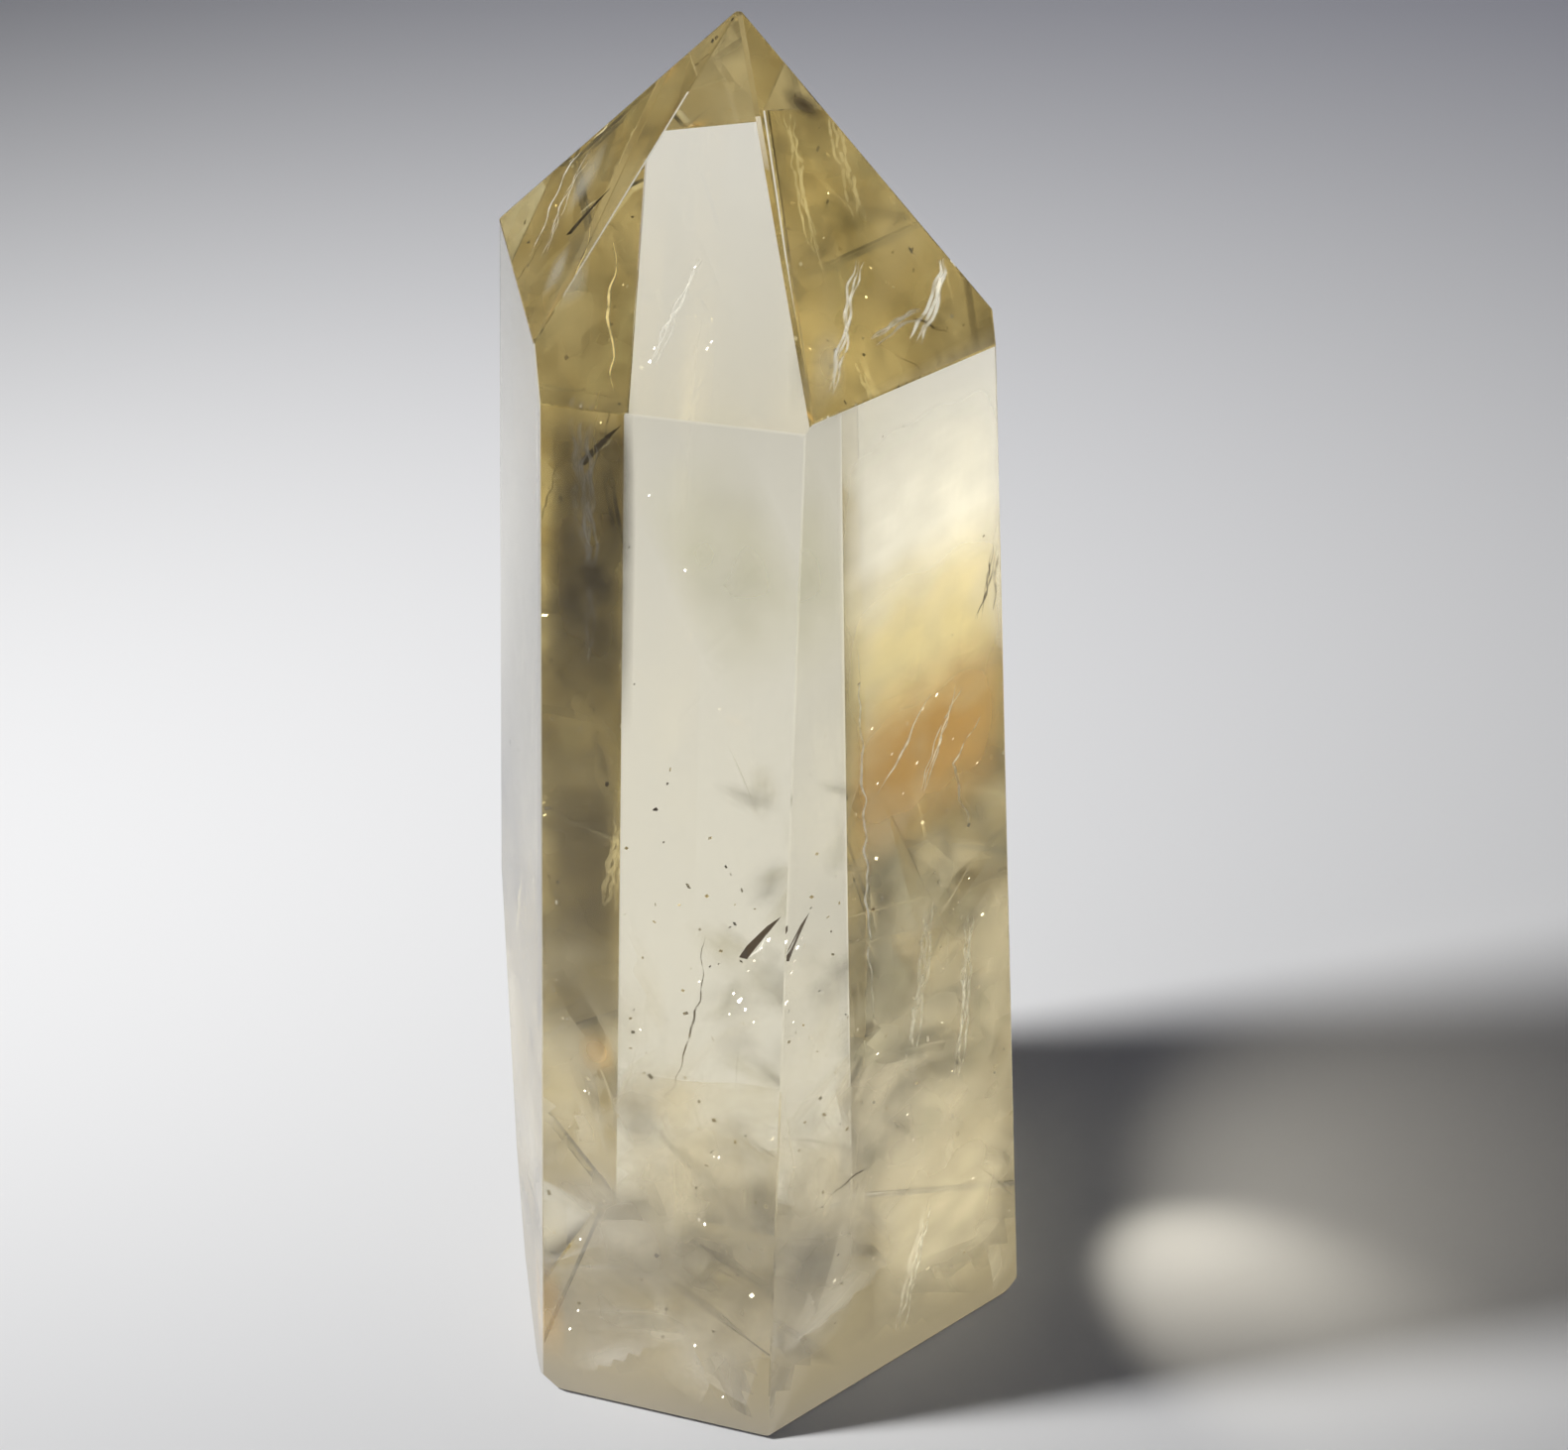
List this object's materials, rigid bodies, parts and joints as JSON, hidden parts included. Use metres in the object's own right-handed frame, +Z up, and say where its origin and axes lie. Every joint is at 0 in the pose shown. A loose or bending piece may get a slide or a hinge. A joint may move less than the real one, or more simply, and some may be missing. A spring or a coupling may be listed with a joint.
{
  "type": "citrine crystal point",
  "caption": "Polished crystal tower with flat prism facets, a pointed faceted tip and a flat foot to stand on.",
  "frame": {"origin": "under the middle of the crystal's outline, on the surface it stands on", "axes": "+Z up along the tower towards the point, -Y towards the front edge between the two front facets, +X to the right"},
  "size_m": [0.0288, 0.0312, 0.08],
  "materials": {
    "citrine": "polished clear pale yellow quartz with internal veils and a cloudy foot"
  },
  "bodies": {
    "root": {"citrine_crystal": "citrine"}
  },
  "joints": []
}
